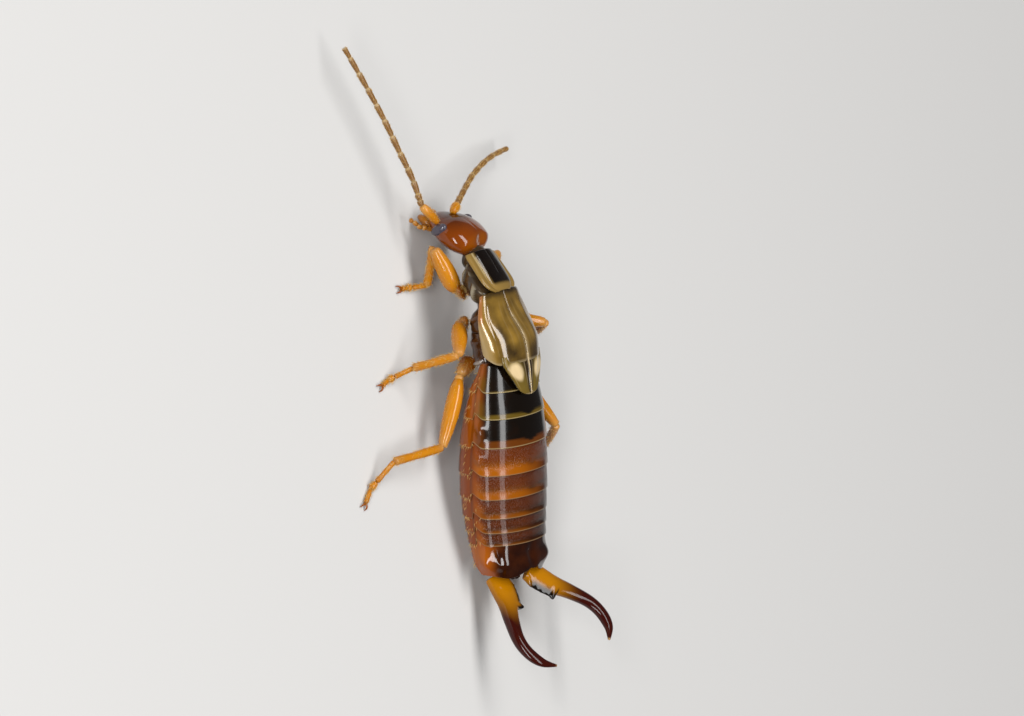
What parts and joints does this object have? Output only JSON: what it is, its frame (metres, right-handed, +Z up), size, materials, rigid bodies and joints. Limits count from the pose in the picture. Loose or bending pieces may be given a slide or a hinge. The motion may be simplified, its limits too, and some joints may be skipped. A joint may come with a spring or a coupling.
{
  "type": "earwig",
  "caption": "Common earwig standing on the floor, back arched and head lowered, with short folded wing cases, a ringed abdomen and open curved forceps at the tail.",
  "frame": {"origin": "centre of the bounding box's bottom face, on the floor under the feet", "axes": "+X toward the animal's left, +Y toward the tail (the head is toward -Y), +Z up"},
  "size_m": [0.0101, 0.0208, 0.0035],
  "materials": {
    "antenna_tan": "satin tan",
    "eye": "satin dark grey",
    "forceps": "glossy ochre to dark brown",
    "head_shell": "glossy orange-brown shell",
    "leg_amber": "satin amber",
    "membrane": "matte pale brown skin",
    "shell_brown": "glossy chestnut shell",
    "shell_dark": "glossy black-brown shell",
    "wing_case": "glossy olive-gold wing case",
    "wing_tip": "satin ochre folded wing tip"
  },
  "bodies": {
    "root": {"abdomen_ring_1": "shell_dark", "abdomen_ring_2": "shell_dark", "abdomen_ring_3": "shell_dark", "abdomen_ring_4": "shell_brown", "abdomen_ring_5": "shell_brown", "abdomen_ring_6": "shell_brown", "abdomen_ring_7": "shell_brown", "abdomen_ring_8": "shell_brown", "abdomen_last_tergite": "shell_brown", "cercus_left": "forceps", "cercus_right": "forceps", "mesothorax": "shell_dark", "metathorax": "shell_dark", "wing_case_left": "wing_case", "wing_tip_left": "wing_tip", "wing_case_right": "wing_case", "wing_tip_right": "wing_tip", "prothorax": "membrane", "pronotum": "shell_dark", "head": "head_shell", "eye_left": "eye", "palp_left": "leg_amber", "eye_right": "eye", "palp_right": "leg_amber", "mouthparts": "head_shell", "neck": "membrane", "antenna_left_scape": "leg_amber", "antenna_left_base": "antenna_tan", "antenna_left_flagellum": "antenna_tan", "antenna_right_scape": "leg_amber", "antenna_right_base": "antenna_tan", "antenna_right_flagellum": "antenna_tan", "leg_left_front_coxa": "leg_amber", "leg_left_front_femur": "leg_amber", "leg_left_front_tibia": "leg_amber", "leg_left_front_foot": "leg_amber", "leg_right_front_coxa": "leg_amber", "leg_right_front_femur": "leg_amber", "leg_right_front_tibia": "leg_amber", "leg_right_front_foot": "leg_amber", "leg_left_middle_coxa": "leg_amber", "leg_left_middle_femur": "leg_amber", "leg_left_middle_tibia": "leg_amber", "leg_left_middle_foot": "leg_amber", "leg_right_middle_coxa": "leg_amber", "leg_right_middle_femur": "leg_amber", "leg_right_middle_tibia": "leg_amber", "leg_right_middle_foot": "leg_amber", "leg_left_hind_coxa": "leg_amber", "leg_left_hind_femur": "leg_amber", "leg_left_hind_tibia": "leg_amber", "leg_left_hind_foot": "leg_amber", "leg_right_hind_coxa": "leg_amber", "leg_right_hind_femur": "leg_amber", "leg_right_hind_tibia": "leg_amber", "leg_right_hind_foot": "leg_amber"}
  },
  "joints": []
}
